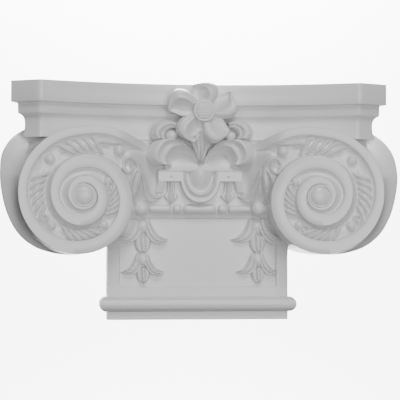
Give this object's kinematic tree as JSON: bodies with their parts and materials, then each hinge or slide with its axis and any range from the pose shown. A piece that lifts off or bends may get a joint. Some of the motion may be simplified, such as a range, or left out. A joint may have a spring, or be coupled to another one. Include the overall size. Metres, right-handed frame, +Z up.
{
  "type": "ionic pilaster capital",
  "caption": "Moulded ionic pilaster capital with two scrolled volutes, curled leaves, a flower and hanging husks on a framed neck, and a flat back for a wall.",
  "frame": {"origin": "the middle of the flat back that goes against the wall, level with the eyes of the volutes", "axes": "+Z up, +Y from the front into the wall, so that the front faces -Y, and +X to the right of someone facing the front"},
  "size_m": [0.6268, 0.16, 0.3782],
  "materials": {
    "primed_casting": "matt primer"
  },
  "bodies": {
    "root": {"capital": "primed_casting"}
  },
  "joints": []
}
